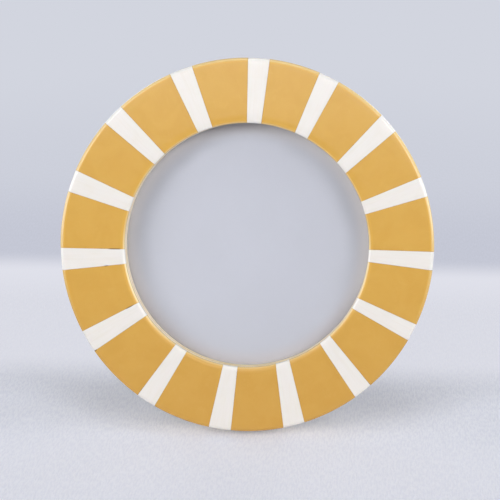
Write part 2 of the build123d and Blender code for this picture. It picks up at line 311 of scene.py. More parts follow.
resinLook = {
    "ochre": seen(218, 168, 71),
    "warm": seen(215, 164, 66),
    "light": seen(222, 174, 82),
    "stain": seen(157, 113, 44),
    # the next two colours paint highlights near the edges, the inner one partly wear
    "goldHighlight": seen(233, 182, 80),
    "paler": seen(254, 234, 178),
    "lowShade": (0.935, 0.91, 0.975, 1.0),  # a tint: painted shade, the resin darker low on the ring where less light falls
    "lowShadeHeights": (-72, 5),
    "clouds": (0.09, 4.0, 0.55, 0.6),
    "cloudSize": (0.35, 0.68),
    "swirlStretch": (1.0, 0.6, 1.0),
    "swirls": (0.45, 5.0, 0.6, 1.2),
    "swirlSize": (0.52, 0.8, 0.4),
    "speckSpread": 0.9,
    "speckSize": (0.03, 0.1),
    "speckShare": 0.3,
    "speckBump": 0.6,
    "stains": (0.28, 3.0),
    "stainSize": (0.5, 0.66),
    "stainReach": (0.0, 0.3),  # from a seam
    "stainShare": 0.5,
    "darkReach": (0.1, 0.3),
    "innerGoldHighlight": (49.8, 51.2),
    "outerGoldHighlight": (72.9, 74.0),
    "goldHighlightShare": 0.6,
    "innerPaleReach": (49.3, 49.9),
    "outerHighlightReach": (73.5, 74.3),
    "outerLess": 0.6,
    "paleShare": 0.85,
    "ripples": (1.4, 3.0, 0.6),
    "relief": (0.00002, 0.35),
}


def resinPaint():
    look = resinLook
    paint = Paint("ochre resin")
    grain = paint.onMap("grain")
    cloud = paint.noise(grain, *look["clouds"])
    swirl = paint.noise(paint.stretch(grain, *look["swirlStretch"]), *look["swirls"])
    specks = 1 - paint.cells(grain, look["speckSpread"]).rise(*look["speckSize"])
    colour = paint.mix(cloud.rise(*look["cloudSize"]), look["ochre"], look["warm"])
    colour = paint.mix(swirl.rise(*look["swirlSize"]), colour, look["light"])
    colour = paint.mix(specks * look["speckShare"], colour, look["light"])
    # Painted shade: the resin is tinted darker low on the ring, where less light falls
    shadedLow = 1 - paint.part(paint.onRing(), "Z").rise(*look["lowShadeHeights"])
    colour = paint.mix(shadedLow, colour, look["lowShade"], "MULTIPLY")
    colour = stainSeams(paint, look, grain, colour)
    # Painted highlight: the ochre is painted lighter and more golden near both edges, where the rounded
    # edges catch the light
    inner, outer = paleEdges(paint, look["innerGoldHighlight"], look["outerGoldHighlight"])
    colour = paint.mix((inner + outer).least(1.0) * look["goldHighlightShare"], colour, look["goldHighlight"])
    # Painted highlight along the outer edge, and along the inner edge with wear: the edges are painted
    # pale
    inner, outer = paleEdges(paint, look["innerPaleReach"], look["outerHighlightReach"])
    paler = (inner + outer * look["outerLess"]).least(1.0)
    colour = paint.mix(paler * look["paleShare"], colour, look["paler"])
    bumps = paint.noise(grain, *look["ripples"]) + specks * look["speckBump"]
    return paint.surface(
        Base_Color=colour,
        Roughness=0.15 + swirl * 0.1,
        Normal=paint.relief(bumps, *look["relief"]),
        Coat_Weight=0.14,
        Coat_Roughness=0.1,
        Subsurface_Weight=0.06,
        Subsurface_Radius=(0.001, 0.0006, 0.0002),
        Subsurface_Scale=1.0,
    )


def fillerPaint():
    look = fillerLook
    paint = Paint("seam filler")
    place = paint.onRing()
    dark = paint.noise(place, *look["patches"]).rise(*look["patchSize"]).most(darkSeams(paint))
    colour = paint.mix(dark, look["pale"], look["dark"])
    normal = paint.relief(paint.noise(place, *look["crumbs"]), *look["relief"])
    return paint.surface(Base_Color=colour, Roughness=0.6 + dark * 0.2, Normal=normal)


boardLook = {
    "cream": seen(254, 242, 214),
    "peach": seen(253, 233, 204),
    "joint": seen(206, 178, 164),
    "bounceTint": (1.0, 0.985, 0.82, 1.0),  # a painted tint: the warm light the resin throws on the opening's wall at its foot
    "bounceTintHeights": (-47, -36),
    "wallEnd": (49.3, 49.8),
    "jointDepth": 5.5,
    "jointReach": (0.3, 0.78),
    "jointShare": 0.8,
    "frontBlend": 0.3,
    "frontShare": 0.8,
    "fibreStretch": (0.35, 3.0, 1.4),
    "fibres": (0.8, 4.0, 0.62, 0.3),
    "fibreSize": (0.4, 0.7, 0.8),
    "clouds": (0.08, 3.0),
    "cloudSize": (0.4, 0.7, 0.2),
    "wander": (0.4, 2.0),
    "wanderBy": 0.25,
    "peel": (1.2, 3.0, 0.55),
    "relief": (0.00003, 0.4),
}


def boardPaint():
    look = boardLook
    paint = Paint("lacquered board")
    ring = paint.onRing()
    depth = paint.part(ring, "Y")
    fibre = paint.noise(paint.stretch(ring, *look["fibreStretch"]), *look["fibres"])
    cloud = paint.noise(ring, *look["clouds"])
    colour = paint.mix(fibre.rise(*look["fibreSize"]), look["cream"], look["peach"])
    joint, blend = look["jointDepth"], look["frontBlend"]
    front = 1 - depth.rise(joint - blend, joint + blend)
    peachy = cloud.rise(*look["cloudSize"]) + front * look["frontShare"]
    colour = paint.mix(peachy.least(1.0), colour, look["peach"])
    near = (depth - joint).size() + paint.noise(ring, *look["wander"]) * look["wanderBy"]
    line = 1 - near.rise(*look["jointReach"])
    colour = paint.mix(line * look["jointShare"], colour, look["joint"])
    # Painted light: the foot of the opening's wall is tinted warmer, as the resin's light falls on it
    low = 1 - paint.part(ring, "Z").rise(*look["bounceTintHeights"])
    onWall = 1 - paint.fromAxis(ring).rise(*look["wallEnd"])
    colour = paint.mix(low * onWall, colour, look["bounceTint"], "MULTIPLY")
    return paint.surface(
        Base_Color=colour,
        Roughness=0.5 + fibre * 0.14,
        Specular_IOR_Level=0.15,
        Normal=paint.relief(paint.noise(ring, *look["peel"]), *look["relief"]),
    )


glassLook = {
    "tint": seen(252, 254, 253),
    "smears": (0.04, 3.0, 0.6, 1.0),
    "smearSize": (0.45, 0.8, 0.03),
}


def glassPaint():
    look = glassLook
    paint = Paint("clear glass")
    smears = paint.noise(paint.onRing(), *look["smears"])
    glass = paint.shader(
        Base_Color=look["tint"],
        Roughness=smears.rise(*look["smearSize"]),
        IOR=1.5,
        Transmission_Weight=1.0,
    )
    clear = paint.node("ShaderNodeBsdfTransparent", None, {"Color": look["tint"]})
    shadow = paint.node("ShaderNodeLightPath", output="Is Shadow Ray")
    return paint.finish(paint.node("ShaderNodeMixShader", None, {0: shadow, 1: glass, 2: clear}))


cardLook = {
    "pale": seen(178, 175, 185),
    "fleck": seen(172, 169, 178),
    "fibres": (2.2, 4.0, 0.65),
    "fibreSize": (0.4, 0.75, 0.5),
    "clouds": (0.05, 2.0),
    "cloudSize": (0.4, 0.7, 0.3),
    "rim": seen(206, 196, 197),  # painted light: the card is painted lighter and warmer beside the wall, where the wall's light falls on it
    "lowWallBounce": seen(180, 169, 172),
    "rimHeights": (-36, -8),
    "rimReach": (42.0, 49.5, 0.9),
    "relief": (0.00002, 0.4),
}


def cardPaint():
    look = cardLook
    paint = Paint("insert card")
    ring = paint.onRing()
    fibre = paint.noise(ring, *look["fibres"])
    cloud = paint.noise(ring, *look["clouds"])
    colour = paint.mix(fibre.rise(*look["fibreSize"]), look["pale"], look["fleck"])
    colour = paint.mix(cloud.rise(*look["cloudSize"]), colour, look["fleck"])
    # Painted light: beside the wall the card is painted lighter and warmer, low on the ring only warmer
    rim = paint.mix(paint.part(ring, "Z").rise(*look["rimHeights"]), look["lowWallBounce"], look["rim"])
    colour = paint.mix(paint.fromAxis(ring).rise(*look["rimReach"]), colour, rim)
    normal = paint.relief(fibre, *look["relief"])
    return paint.surface(Base_Color=colour, Roughness=0.75 + fibre * 0.15, Normal=normal)


flockLook = {  # patterns by the metre
    "nap": seen(28, 28, 31),
    "paler": seen(62, 61, 64),
    "dust": seen(112, 109, 109),
    "naps": (1500.0, 4.0, 0.75),
    "napSize": (0.45, 0.7, 0.5),
    "brushStretch": (60.0, 60.0, 22.0),
    "brushed": (1.0, 4.0, 0.6, 0.8),
    "brushedSize": (0.4, 0.72, 0.6),
    "brushedBump": 0.5,
    "lintSpread": 130.0,
    "lintSize": (0.03, 0.07),
    "lintShare": 0.5,
    "relief": (0.0002, 0.9),
}


def flockPaint():
    look = flockLook
    paint = Paint("black flock")
    place = paint.onPiece()
    nap = paint.noise(place, *look["naps"])
    brushed = paint.noise(paint.stretch(place, *look["brushStretch"]), *look["brushed"])
    lint = 1 - paint.cells(place, look["lintSpread"]).rise(*look["lintSize"])
    colour = paint.mix(brushed.rise(*look["brushedSize"]), look["nap"], look["paler"])
    colour = paint.mix(nap.rise(*look["napSize"]), colour, look["paler"])
    colour = paint.mix(lint * look["lintShare"], colour, look["dust"])
    return paint.surface(
        Base_Color=colour,
        Roughness=0.85 + nap * 0.12,
        Normal=paint.relief(nap + brushed * look["brushedBump"], *look["relief"]),
        Sheen_Weight=0.35,
        Sheen_Roughness=0.5,
    )


steelLook = {  # patterns by the metre
    "bright": seen(216, 213, 207),
    "dull": seen(178, 174, 167),
    "lineStretch": (260.0, 2600.0, 2600.0),
    "lines": (1.0, 3.0, 0.6),
    "clouds": (180.0, 4.0, 0.6),
    "dullSize": (0.4, 0.75, 0.6),
    "roughSize": (0.45, 0.8, 0.12),
    "relief": (0.000012, 0.4),
}


def steelPaint():
    look = steelLook
    paint = Paint("plated steel")
    place = paint.onPiece()
    lines = paint.noise(paint.stretch(place, *look["lineStretch"]), *look["lines"])
    cloud = paint.noise(place, *look["clouds"])
    colour = paint.mix(cloud.rise(*look["dullSize"]), look["bright"], look["dull"])
    rough = 0.19 + lines * 0.13 + cloud.rise(*look["roughSize"])
    normal = paint.relief(lines, *look["relief"])
    return paint.surface(Base_Color=colour, Metallic=1.0, Roughness=rough, Normal=normal)


paints = {
    "bone": bonePaint(),
    "resin": resinPaint(),
    "filler": fillerPaint(),
    "board": boardPaint(),
    "glass": glassPaint(),
    "card": cardPaint(),
    "flock": flockPaint(),
    "steel": steelPaint(),
}
print("materials mixed:", len(paints))

meshing = {
    "merge": 0.0005,  # corners nearer than this become one
    "cut": 0.0001,
    "near": 0.01,  # how far from its place a corner may be to count as there
    "smoothUnder": 35,  # degrees between two faces
    "sharpOver": 50,
    "edgeSteps": 2,
    "cornerSteps": 6,
}


def addObject(bm, name, paint):
    mesh = bpy.data.meshes.new(name)
    bm.to_mesh(mesh)
    bm.free()
    mesh.materials.append(paint.material)
    made = bpy.data.objects.new(name, mesh)
    scene.collection.objects.link(made)
    return made


# Every piece of the object starts as a bmesh and ends here
def makePiece(bm, name, body, paint, node=None, place=standing):
    bmesh.ops.remove_doubles(bm, verts=bm.verts, dist=meshing["merge"])
    bmesh.ops.transform(bm, matrix=place, verts=bm.verts)
    bmesh.ops.recalc_face_normals(bm, faces=bm.faces)
    for face in bm.faces:
        face.smooth = True
    for edge in bm.edges:
        edge.smooth = edge.calc_face_angle(0) < radians(meshing["smoothUnder"])
    piece = addObject(bm, name, paints[paint])
    evenShine = piece.modifiers.new("even shine", "WEIGHTED_NORMAL")
    evenShine.keep_sharp = True
    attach(piece, body)
    if node:
        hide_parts(node)


def roundEdges(bm, edges, radius, segments, affect="EDGES"):
    bmesh.ops.bevel(
        bm, geom=edges, affect=affect, offset=radius, offset_type="OFFSET", segments=segments,
        profile=0.5, clamp_overlap=True, material=-1,
    )


def roundCorners(bm, corners, radius):
    roundEdges(bm, corners, radius, meshing["cornerSteps"], "VERTICES")


def sharpEdges(bm, angle=meshing["sharpOver"]):
    return [edge for edge in bm.edges if edge.calc_face_angle(0) > radians(angle)]


def cutAt(bm, point, normal, clear=False):
    bmesh.ops.bisect_plane(
        bm, geom=bm.verts[:] + bm.edges[:] + bm.faces[:], dist=meshing["cut"],
        plane_co=point, plane_no=normal, clear_outer=clear,
    )


# Cuts away what lies on the normal's side, and closes the cut
def cutOff(bm, point, normal):
    cutAt(bm, point, normal, clear=True)
    rims = [edge for edge in bm.edges if edge.is_boundary]
    bmesh.ops.holes_fill(bm, edges=rims, sides=0)


def joined(parts):  # pairs of a bmesh and the matrix that places it
    whole = bmesh.new()
    for bm, place in parts:
        bmesh.ops.transform(bm, matrix=place, verts=bm.verts)
        mesh = bpy.data.meshes.new("part")
        bm.to_mesh(mesh)
        bm.free()
        whole.from_mesh(mesh)
        bpy.data.meshes.remove(mesh)
    return whole


# Turns an outline of (radius, depth) points about the ring's axis, all round or over a sweep
def turn(points, steps, closed=True, start=0.0, sweep=360.0):
    bm = bmesh.new()
    side = (cos(radians(start)), sin(radians(start)))
    corners = [bm.verts.new((radius * side[0], depth, radius * side[1])) for radius, depth in points]
    pairs = list(zip(corners, corners[1:]))
    if closed:
        pairs.append((corners[-1], corners[0]))
    edges = [bm.edges.new(pair) for pair in pairs]
    bmesh.ops.spin(
        bm, geom=corners + edges, cent=(0, 0, 0), axis=(0, -1, 0), angle=radians(sweep),
        steps=steps, use_merge=sweep == 360.0, use_duplicate=False,
    )
    bmesh.ops.remove_doubles(bm, verts=bm.verts, dist=meshing["merge"])
    bmesh.ops.recalc_face_normals(bm, faces=bm.faces)
    return bm


def circlesAt(bm, radius, depth):
    def lies(corner):
        away = hypot(corner.co.x, corner.co.z) - radius
        return hypot(away, corner.co.y - depth) < meshing["near"]

    return [edge for edge in bm.edges if all(lies(corner) for corner in edge.verts)]


# The inlay: bone strips between resin panels, with filler in the seams
inlay = {
    "opening": 49.0,
    "outer": 75.0,
    "thickness": 2.5,
    "innerRound": (1.0, 5),  # radius and steps
    "outerRound": (1.3, 6),
    "softWidth": 3.4,  # the face falls away towards both edges over this width
    "softDrop": 0.2,
    "softShares": (0.0, 0.42, 0.55, 0.7, 0.85, 1.0),
    "count": 15,
    "seam": 0.1,
    "seamRound": (0.07, 2),
    "endAngle": 40,  # a cut end's edges are sharper than this, in degrees
    "endCorners": 8,  # and its face has more corners than this
    "fillerSink": 0.05,
    "fillerGap": 0.002,
    "stepAngle": 0.6,
    "spare": 1.0,  # degrees turned beyond each edge, and then cut off
    "grainWrap": (0.7, 0.3),  # how far the grain's map moves on down the walls
    "grainApart": 37.0,  # between the grain of one piece and the next
    "panelShift": 20,  # pieces
    # the strips, anticlockwise from the right, in steps of a fifteenth of a turn
    "firstStrip": 0.79,
    "drift": [0.01, -0.08, -0.10, -0.16, -0.17, -0.11, -0.08, -0.05]
    + [0.06, 0.14, 0.17, 0.17, 0.14, 0.10, 0.06],
    "width": [0.26, 0.27, 0.27, 0.28, 0.30, 0.29, 0.29, 0.29]
    + [0.30, 0.26, 0.29, 0.28, 0.25, 0.23, 0.24],
    "skew": [0.02, 0.06, 0.01, -0.01, 0.04, 0.02, -0.03, -0.04]
    + [-0.01, -0.02, -0.03, -0.10, -0.05, 0.01, 0.0],
}


def polar(radius, angle):
    return Vector((radius * cos(radians(angle)), 0, radius * sin(radians(angle))))


def stripEdge(index, side):  # side -1 is the strip's first edge, anticlockwise, and 1 its last
    step = 360 / inlay["count"]
    row = index % inlay["count"]
    centre = step * (inlay["firstStrip"] + index + inlay["drift"][row])
    halfWidth = side * step * inlay["width"][row] / 2
    halfSkew = step * inlay["skew"][row] / 2
    inner = polar(inlay["opening"], centre - halfSkew + halfWidth)
    outer = polar(inlay["outer"], centre + halfSkew + halfWidth)
    return inner, outer


def angleOf(point):
    return degrees(Vector((point.x, point.z)).angle_signed(Vector((1, 0))))


def lineAndAside(inner, outer):  # directions along an edge, outwards, and to its left
    along = (outer - inner).normalized()
    return along, Vector((-along.z, 0, along.x))


def inlayOutline(sink):  # sink draws the outline in from the face and both edges
    low, high = inlay["opening"] + sink, inlay["outer"] - sink
    soft = inlay["softWidth"]

    def onFace(fromEdge):
        return sink + inlay["softDrop"] * max(0.0, 1 - fromEdge / soft) ** 2

    shares = inlay["softShares"]
    points = [(low, inlay["thickness"])]
    points += [(low + share * soft, onFace(share * soft)) for share in shares]
    points += [(high - share * soft, onFace(share * soft)) for share in reversed(shares)]
    return points + [(high, inlay["thickness"])]


# Cuts one piece out of the turned ring, between two edges that are drawn in by a gap
def inlaySector(firstEdge, lastEdge, gap, sink):
    start = min(angleOf(point) for point in firstEdge) - inlay["spare"]
    sweep = max((angleOf(point) - start) % 360 for point in lastEdge) + inlay["spare"]
    outline = inlayOutline(sink)
    bm = turn(outline, ceil(sweep / inlay["stepAngle"]), True, start, sweep)
    roundEdges(bm, circlesAt(bm, *outline[1]), *inlay["innerRound"])
    roundEdges(bm, circlesAt(bm, *outline[-2]), *inlay["outerRound"])
    for (inner, outer), side in ((firstEdge, -1), (lastEdge, 1)):
        away = lineAndAside(inner, outer)[1] * side
        cutOff(bm, inner - away * gap, away)
    return bm


# Two maps for the materials: the grain runs up a piece's length, and seam is the distance from its
# nearest long edge
def mapGrain(bm, firstEdge, lastEdge, index):
    middle = [(first + last) / 2 for first, last in zip(firstEdge, lastEdge)]
    along, aside = lineAndAside(*middle)
    wrapAcross, wrapAlong = inlay["grainWrap"]
    grain = bm.loops.layers.uv.new("grain")
    seam = bm.loops.layers.uv.new("seam")
    edges = [(edge[0], lineAndAside(*edge)[1]) for edge in (firstEdge, lastEdge)]
    for face in bm.faces:
        for loop in face.loops:
            point = loop.vert.co
            fromMiddle = point - middle[0]
            u = wrapAcross * point.y - fromMiddle.dot(aside) + inlay["grainApart"] * index
            loop[grain].uv = (u, fromMiddle.dot(along) + wrapAlong * point.y)
            loop[seam].uv = (min(abs((point - inner).dot(off)) for inner, off in edges), 0)


def inlayPiece(name, node, paint, firstEdge, lastEdge, index):
    bm = inlaySector(firstEdge, lastEdge, inlay["seam"] / 2, 0.0)
    back = inlay["thickness"] - meshing["near"]
    ends = [
        edge
        for edge in sharpEdges(bm, inlay["endAngle"])
        if any(len(face.verts) > inlay["endCorners"] for face in edge.link_faces)
        and max(corner.co.y for corner in edge.verts) < back
    ]
    roundEdges(bm, ends, *inlay["seamRound"])
    mapGrain(bm, firstEdge, lastEdge, index)
    makePiece(bm, name, "frame", paint, node)


def makeInlay():
    for index in range(inlay["count"]):
        number = f"{index + 1:02d}"
        first, last, following = stripEdge(index, -1), stripEdge(index, 1), stripEdge(index + 1, -1)
        strip, panel = f"bone_strip_{number}", f"resin_panel_{number}"
        shifted = index + inlay["panelShift"]
        inlayPiece(f"boneStrip{number}", strip, "bone", first, last, index)
        inlayPiece(f"resinPanel{number}", panel, "resin", last, following, shifted)


def makeFiller():
    blades = []
    for index in range(inlay["count"]):
        for side in (-1, 1):
            inner, outer = stripEdge(index, side)
            half = lineAndAside(inner, outer)[1] * inlay["seam"] / 2
            firstEdge, lastEdge = (inner - half, outer - half), (inner + half, outer + half)
            blade = inlaySector(firstEdge, lastEdge, inlay["fillerGap"], inlay["fillerSink"])
            blades.append((blade, Matrix()))
    makePiece(joined(blades), "seamFiller", "frame", "filler")


makeInlay()
makeFiller()
print("inlay laid")

# The two boards under the inlay, by their corners: radius, depth and rounding
boards = {
    "frontBoard": {
        "node": "core_front_ring",
        "corners": ((49.0, 2.5, 0.075), (75.0, 2.5, 0.075), (75.0, 5.7, 0.15), (49.0, 5.7, 0.15)),
        "roundSteps": 2,
    },
    "rearBoard": {
        "node": "core_rear_ring",
        "corners": ((49.0, 5.7, 0.15), (75.0, 5.7, 0.15), (75.0, 15.0, 0.9))
        + ((52.25, 15.0, 0.25), (52.25, 9.5, 0), (49.0, 9.5, 0.25)),  # the rebate and its lip
        "roundSteps": 4,
    },
}
boardSteps = 360


def makeBoards():
    for name, board in boards.items():
        bm = turn([corner[:2] for corner in board["corners"]], boardSteps)
        for radius, depth, rounding in board["corners"]:
            if rounding:
                roundEdges(bm, circlesAt(bm, radius, depth), rounding, board["roundSteps"])
        makePiece(bm, name, "frame", "board", board["node"])


makeBoards()
print("boards turned")

# Glass, card and back board, which lie loose in the rebate a hair apart
loose = {
    "radius": 52.0,
    "hair": 0.03,
    "glass": (9.5, 11.5),
    "card": (11.5, 12.0),
    "backBoard": (12.0, 15.0),
    "glassRound": 0.2,
    "boardRound": 0.45,
    "roundSteps": 3,
    "steps": 240,
}


def makeLoosePieces():
    radius = loose["radius"]
    for name, node, paint, slotName, rounding in (
        ("glass", "glass_pane", "glass", "clear_glass", loose["glassRound"]),
        ("card", "photo_insert", "card", "insert_card", 0),
        ("backBoard", "back_board", "flock", "flocked_board", loose["boardRound"]),
    ):
        front, back = loose[name]
        bm = bmesh.new()
        middle = Matrix.Translation((0, (front + back) / 2, 0)) @ Matrix.Rotation(pi / 2, 4, "X")
        bmesh.ops.create_cone(
            bm, cap_ends=True, cap_tris=False, segments=loose["steps"], radius1=radius,
            radius2=radius, depth=back - front - 2 * loose["hair"], matrix=middle,
        )
        if rounding:
            roundEdges(bm, sharpEdges(bm), rounding, loose["roundSteps"])
        makePiece(bm, name, "frame", paint, node)


makeLoosePieces()
print("rebate filled")


# A flat piece cut to an outline of ((x, z), corner radius) between two depths
def cutSheet(outline, front, back, edgeRound):
    bm = bmesh.new()
    corners = [(bm.verts.new((x, front, z)), rounding) for (x, z), rounding in outline]
    bm.faces.new([corner[0] for corner in corners])
    for corner, rounding in corners:
        if rounding:
            roundCorners(bm, [corner], rounding)
    grown = bmesh.ops.extrude_face_region(bm, geom=bm.faces[:])["geom"]
    raised = [corner for corner in grown if isinstance(corner, bmesh.types.BMVert)]
    bmesh.ops.translate(bm, verts=raised, vec=(0, back - front, 0))
    bmesh.ops.recalc_face_normals(bm, faces=bm.faces)
    roundEdges(bm, sharpEdges(bm), edgeRound, meshing["edgeSteps"])
    return bm


def mirrored(half):  # an outline from the corners of its right half
    return half + [((-x, z), rounding) for (x, z), rounding in reversed(half)]


# Bends a flat piece: lift gives how far it rises out of the back at a distance along x
def bendSheet(bm, cuts, lift):
    for x in cuts:
        cutAt(bm, (x, 0, 0), (1, 0, 0))
    for corner in bm.verts:
        corner.co.y += lift(corner.co.x)


leg = {
    "half": [((20.0, -71.69), 2.5), ((14.0, 25.7), 2.0)],  # ((x, z), corner radius)
    "depths": (15.5, 18.3),
    "edgeRound": 0.5,
}


# The foot is cut level with the floor
def makeLeg():
    bm = cutSheet(mirrored(leg["half"]), *leg["depths"], leg["edgeRound"])
    toRing = opened.inverted()
    down = (toRing.to_3x3() @ Vector((0, 0, -1))).normalized()
    cutOff(bm, toRing @ Vector((0, 0, 0)), down)
    makePiece(bm, "leg", "leg", "flock", "easel_leg", opened)


hinge = {
    "sheet": 0.8,
    "rollSteps": 22,
    "edgeRound": 0.14,
    "edgeAngle": 60,  # degrees, past which an edge of the sheet is rounded
    "corner": 3.0,
    "plate": {
        "columns": (-12.0, -6.0, 6.0, 12.0),
        "path": ((15.0, 45.0), (15.0, 30.3)),  # depth and height, down the plate
        "tabs": ((15.0, 29.9), (15.06, 29.5), (15.24, 28.8), (15.3, 28.4), (15.3, 28.0)),
        "tabsBetween": (6.0, 12.0),  # from the middle
        "roll": 298.0,
    },
    "leaf": {
        "columns": (-11.0, -5.7, 5.7, 11.0),
        "path": ((19.1, 6.0), (19.1, 25.7)),  # up the leaf
        "tabs": ((19.1, 28.0),),
        "tabsBetween": (0.0, 5.7),
        "roll": 288.0,
    },
    "tongue": [((4.7, 29.25), 0), ((4.7, 34.0), 1.2)],  # its right half
    "tongueDepths": (15.9, 16.7),
    "pinRadius": 1.05,
    "pinHalf": 12.1,
    "pinHead": {"radius": 1.55, "height": 0.7, "side": 0.25},
    "pinSteps": 32,
}


# Sheet whose tabs are rolled round the pin. The path is that of the sheet's outer side.
def rolledSheet(sheet):
    bm = bmesh.new()
    depth, height = sheet["path"][0]
    nearest, furthest = sheet["tabsBetween"]
    corners = [bm.verts.new((x, depth, height)) for x in sheet["columns"]]
    edges = [bm.edges.new(pair) for pair in zip(corners, corners[1:])]
    for depth, height in sheet["path"][1:] + sheet["tabs"]:
        if (depth, height) == sheet["tabs"][0]:
            edges = [
                edge
                for edge in edges
                if nearest <= abs(sum(corner.co.x for corner in edge.verts) / 2) <= furthest
            ]
        grown = bmesh.ops.extrude_edge_only(bm, edges=edges)["geom"]
        rolled = [part for part in grown if isinstance(part, bmesh.types.BMVert)]
        edges = [edge for edge in bm.edges if all(corner in rolled for corner in edge.verts)]
        for corner in rolled:
            corner.co.y, corner.co.z = depth, height
    bmesh.ops.spin(
        bm, geom=rolled + edges, cent=stance["pin"], axis=(1, 0, 0), angle=radians(sheet["roll"]),
        steps=hinge["rollSteps"], use_duplicate=False,
    )
    ends = [corner for corner in corners if abs(corner.co.x) == max(sheet["columns"])]
    roundCorners(bm, ends, hinge["corner"])
    bmesh.ops.solidify(bm, geom=bm.faces[:], thickness=hinge["sheet"])
    bmesh.ops.recalc_face_normals(bm, faces=bm.faces)
    roundEdges(bm, sharpEdges(bm, hinge["edgeAngle"]), hinge["edgeRound"], meshing["edgeSteps"])
    return bm


def makeHinge():
    plate = rolledSheet(hinge["plate"])
    makePiece(plate, "hingePlate", "frame", "steel", "hinge_plate")
    leaf = rolledSheet(hinge["leaf"])
    tongue = cutSheet(mirrored(hinge["tongue"]), *hinge["tongueDepths"], hinge["edgeRound"])
    both = joined([(leaf, standing.inverted() @ opened), (tongue, Matrix())])
    makePiece(both, "hingeLeaf", "leg", "steel", "hinge_leaf")


# A head as (radius, depth) points from its rim to the axis: a flattened dome, upright for a share
# of its height at the side
def domed(seat, radius, height, side, steps=7):
    points = [(radius, seat)]
    for step in range(steps + 1):
        angle = pi / 2 * step / steps
        points.append((radius * cos(angle), seat + height * (side + (1 - side) * sin(angle))))
    return points


# Both heads of the pin are hammered to a dome
def makePin():
    points = [(hinge["pinRadius"], hinge["pinHalf"])] + domed(hinge["pinHalf"], **hinge["pinHead"])
    bm = turn([(r, -y) for r, y in reversed(points)] + points, hinge["pinSteps"], closed=False)
    place = toPin @ Matrix.Rotation(pi / 2, 4, "Z")
    makePiece(bm, "hingePin", "frame", "steel", "hinge_pin", standing @ place)


rivet = {
    "radius": 1.1,
    "head": {"radius": 2.1, "height": 0.8, "side": 0.2},
    "lip": 0.95,  # radius where the rolled lip turns into the dimple
    "lipWidth": 0.3,
    "lipDrop": 0.04,
    "mouthWidth": 0.12,
    "mouthDepth": 0.2,
    "dimple": 0.6,
    "dimpleDepth": 0.62,
    "halfSpacing": 7.0,
    "steps": 28,
    "inPlate": (39.0, 15.8, 12.3),  # height, and depth of the head's seat and of the end
    "inLeaf": (15.0, 19.1, 15.8),
}


def turnedPair(outline, steps, x, z):  # one on each side of the middle
    places = [Matrix.Translation((side * x, 0, z)) for side in (-1, 1)]
    return joined([(turn(outline, steps, closed=False), place) for place in places])


def makeRivets(name, node, body, place, height, seat, end):
    top = seat + rivet["head"]["height"]
    lip, dimple, bottom = rivet["lip"], rivet["dimple"], top - rivet["dimpleDepth"]
    outline = [(0.0, end), (rivet["radius"], end), (rivet["radius"], seat)]
    for radius, depth in domed(seat, **rivet["head"]):
        if radius > lip + rivet["lipWidth"]:
            outline.append((radius, depth))
    outline += [(lip, top), (dimple + rivet["mouthWidth"], top - rivet["lipDrop"])]
    outline += [(dimple, top - rivet["mouthDepth"]), (dimple, bottom), (0.0, bottom)]
    both = turnedPair(outline, rivet["steps"], rivet["halfSpacing"], height)
    makePiece(both, name, body, "steel", node, place)


makeLeg()
makeHinge()
makePin()
makeRivets("plateRivets", "hinge_plate_rivets", "frame", standing, *rivet["inPlate"])
makeRivets("leafRivets", "hinge_leaf_rivets", "leg", opened, *rivet["inLeaf"])
print("leg hinged")

turnButton = {
    "circle": 60.0,
    "angles": (45, 135, 225, 315),
    "tip": 12.0,
    "tail": 7.5,
    "halfWidth": 4.5,
    "depths": (15.2, 16.2),
    "tipCorner": 4.3,
    "tailCorner": 2.25,
    "bendFrom": 3.9,
    "bendWidth": 1.2,
    "bendCuts": 4,
    "slope": 1.3 / 3,
    "edgeRound": 0.2,
}


def buttonPlace(angle):
    upright = Matrix.Rotation(radians(-angle), 4, "Y")
    return Matrix.Translation(polar(turnButton["circle"], angle)) @ upright


def makeTurnButtons():
    half, tip, tail = turnButton["halfWidth"], turnButton["tip"], turnButton["tail"]
    start, width, cuts = turnButton["bendFrom"], turnButton["bendWidth"], turnButton["bendCuts"]

    def lift(x):
        if x < start + width:
            return turnButton["slope"] * max(0.0, x - start) ** 2 / (2 * width)
        return turnButton["slope"] * (x - start - width / 2)

    outline = [((-tip, -half), turnButton["tipCorner"]), ((tail, -half), turnButton["tailCorner"])]
    outline += [((tail, half), turnButton["tailCorner"]), ((-tip, half), turnButton["tipCorner"])]
    for index, angle in enumerate(turnButton["angles"], 1):
        bm = cutSheet(outline, *turnButton["depths"], turnButton["edgeRound"])
        bendSheet(bm, [start + width * step / cuts for step in range(cuts + 1)], lift)
        name, node, place = f"turnButton{index}", f"turn_button_{index}", standing @ buttonPlace(angle)
        makePiece(bm, name, f"button_{index}", "steel", node, place)


screw = {
    "radius": 1.25,
    "point": 1.6,
    "end": 9.3,
    "seat": 16.3,
    "head": {"radius": 2.6, "height": 1.5, "side": 0.35, "steps": 8},
    "steps": 40,
    "crossHalf": 1.4,
    "crossHalfWidth": 0.3,
    "crossDepth": 0.8,
    "crossAbove": 0.9,  # over the seat, where the faces are the head's top
    "firstTwist": 17,  # driven home by hand, each ends its own way: degrees
    "nextTwist": 41,
}


